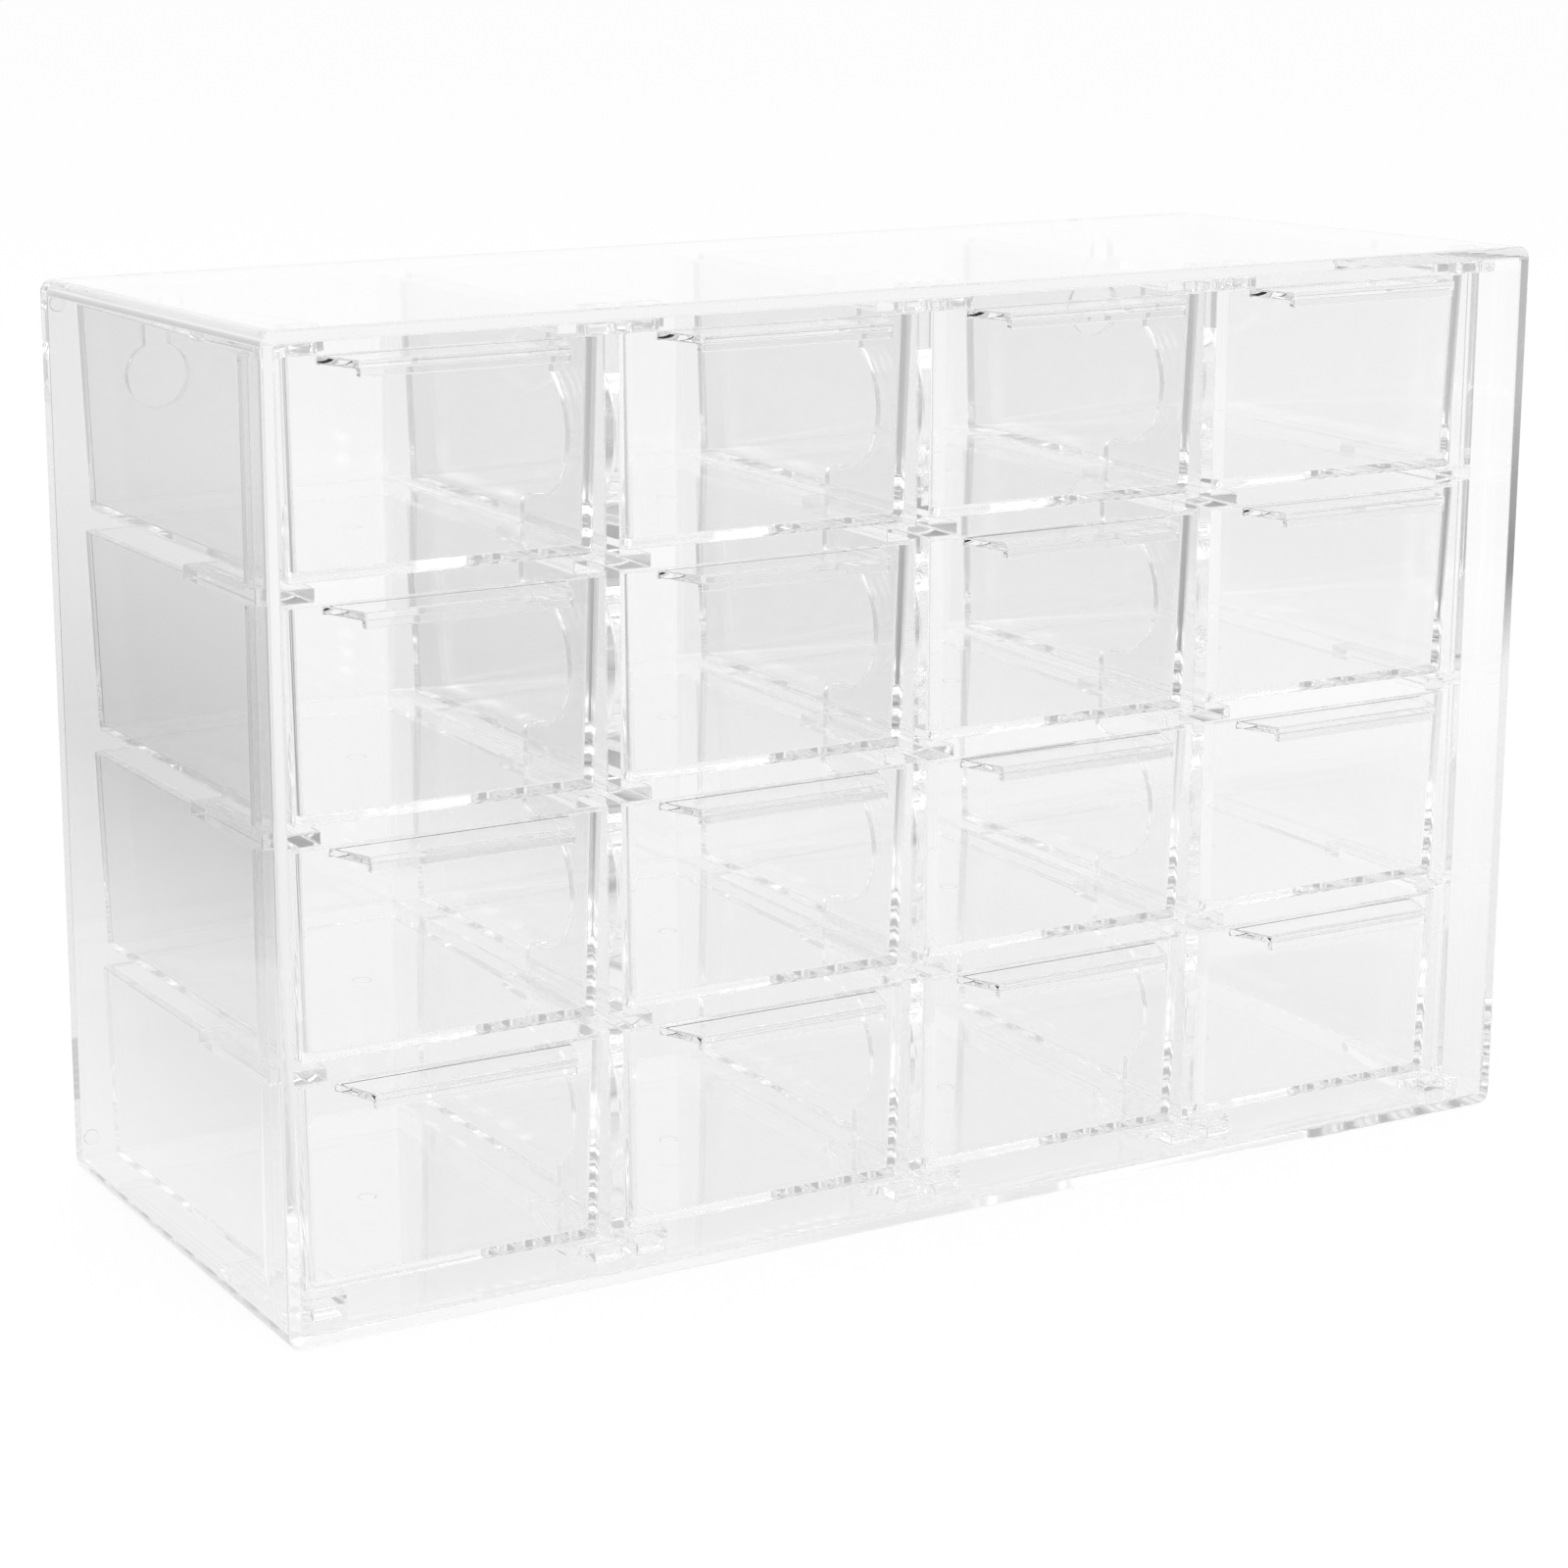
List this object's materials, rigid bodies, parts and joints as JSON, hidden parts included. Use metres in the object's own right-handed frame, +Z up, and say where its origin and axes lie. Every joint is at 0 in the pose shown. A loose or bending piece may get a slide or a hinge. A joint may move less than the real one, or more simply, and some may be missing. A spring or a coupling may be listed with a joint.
{
  "type": "stamp storage drawers",
  "caption": "Clear desk-top organizer: an open-fronted box with upright dividers and ledges that carry a grid of tapered pull-out drawers with ledge-shaped pulls.",
  "frame": {"origin": "centre of the footprint, on the surface that the case stands on", "axes": "+X to the right seen from the front, +Y from the open front to the back, +Z up"},
  "size_m": [0.264, 0.106, 0.1731],
  "materials": {
    "clear_case": "polished clear",
    "clear_rib": "polished clear",
    "clear_drawer": "polished clear"
  },
  "bodies": {
    "case": {"outer_case": "clear_case", "side_frame_left": "clear_rib", "divider_1": "clear_rib", "divider_2": "clear_rib", "divider_3": "clear_rib", "side_frame_right": "clear_rib"},
    "drawer_r1_c1": {"drawer_r1_c1": "clear_drawer"},
    "drawer_r1_c2": {"drawer_r1_c2": "clear_drawer"},
    "drawer_r1_c3": {"drawer_r1_c3": "clear_drawer"},
    "drawer_r1_c4": {"drawer_r1_c4": "clear_drawer"},
    "drawer_r2_c1": {"drawer_r2_c1": "clear_drawer"},
    "drawer_r2_c2": {"drawer_r2_c2": "clear_drawer"},
    "drawer_r2_c3": {"drawer_r2_c3": "clear_drawer"},
    "drawer_r2_c4": {"drawer_r2_c4": "clear_drawer"},
    "drawer_r3_c1": {"drawer_r3_c1": "clear_drawer"},
    "drawer_r3_c2": {"drawer_r3_c2": "clear_drawer"},
    "drawer_r3_c3": {"drawer_r3_c3": "clear_drawer"},
    "drawer_r3_c4": {"drawer_r3_c4": "clear_drawer"},
    "drawer_r4_c1": {"drawer_r4_c1": "clear_drawer"},
    "drawer_r4_c2": {"drawer_r4_c2": "clear_drawer"},
    "drawer_r4_c3": {"drawer_r4_c3": "clear_drawer"},
    "drawer_r4_c4": {"drawer_r4_c4": "clear_drawer"}
  },
  "joints": [
    {"name": "drawer_r1_c1_slide", "type": "slide", "parent": "case", "child": "drawer_r1_c1", "axis": [0, -1, 0], "range_m": [0, 0.07]},
    {"name": "drawer_r1_c2_slide", "type": "slide", "parent": "case", "child": "drawer_r1_c2", "axis": [0, -1, 0], "range_m": [0, 0.07]},
    {"name": "drawer_r1_c3_slide", "type": "slide", "parent": "case", "child": "drawer_r1_c3", "axis": [0, -1, 0], "range_m": [0, 0.07]},
    {"name": "drawer_r1_c4_slide", "type": "slide", "parent": "case", "child": "drawer_r1_c4", "axis": [0, -1, 0], "range_m": [0, 0.07]},
    {"name": "drawer_r2_c1_slide", "type": "slide", "parent": "case", "child": "drawer_r2_c1", "axis": [0, -1, 0], "range_m": [0, 0.07]},
    {"name": "drawer_r2_c2_slide", "type": "slide", "parent": "case", "child": "drawer_r2_c2", "axis": [0, -1, 0], "range_m": [0, 0.07]},
    {"name": "drawer_r2_c3_slide", "type": "slide", "parent": "case", "child": "drawer_r2_c3", "axis": [0, -1, 0], "range_m": [0, 0.07]},
    {"name": "drawer_r2_c4_slide", "type": "slide", "parent": "case", "child": "drawer_r2_c4", "axis": [0, -1, 0], "range_m": [0, 0.07]},
    {"name": "drawer_r3_c1_slide", "type": "slide", "parent": "case", "child": "drawer_r3_c1", "axis": [0, -1, 0], "range_m": [0, 0.07]},
    {"name": "drawer_r3_c2_slide", "type": "slide", "parent": "case", "child": "drawer_r3_c2", "axis": [0, -1, 0], "range_m": [0, 0.07]},
    {"name": "drawer_r3_c3_slide", "type": "slide", "parent": "case", "child": "drawer_r3_c3", "axis": [0, -1, 0], "range_m": [0, 0.07]},
    {"name": "drawer_r3_c4_slide", "type": "slide", "parent": "case", "child": "drawer_r3_c4", "axis": [0, -1, 0], "range_m": [0, 0.07]},
    {"name": "drawer_r4_c1_slide", "type": "slide", "parent": "case", "child": "drawer_r4_c1", "axis": [0, -1, 0], "range_m": [0, 0.07]},
    {"name": "drawer_r4_c2_slide", "type": "slide", "parent": "case", "child": "drawer_r4_c2", "axis": [0, -1, 0], "range_m": [0, 0.07]},
    {"name": "drawer_r4_c3_slide", "type": "slide", "parent": "case", "child": "drawer_r4_c3", "axis": [0, -1, 0], "range_m": [0, 0.07]},
    {"name": "drawer_r4_c4_slide", "type": "slide", "parent": "case", "child": "drawer_r4_c4", "axis": [0, -1, 0], "range_m": [0, 0.07]}
  ]
}
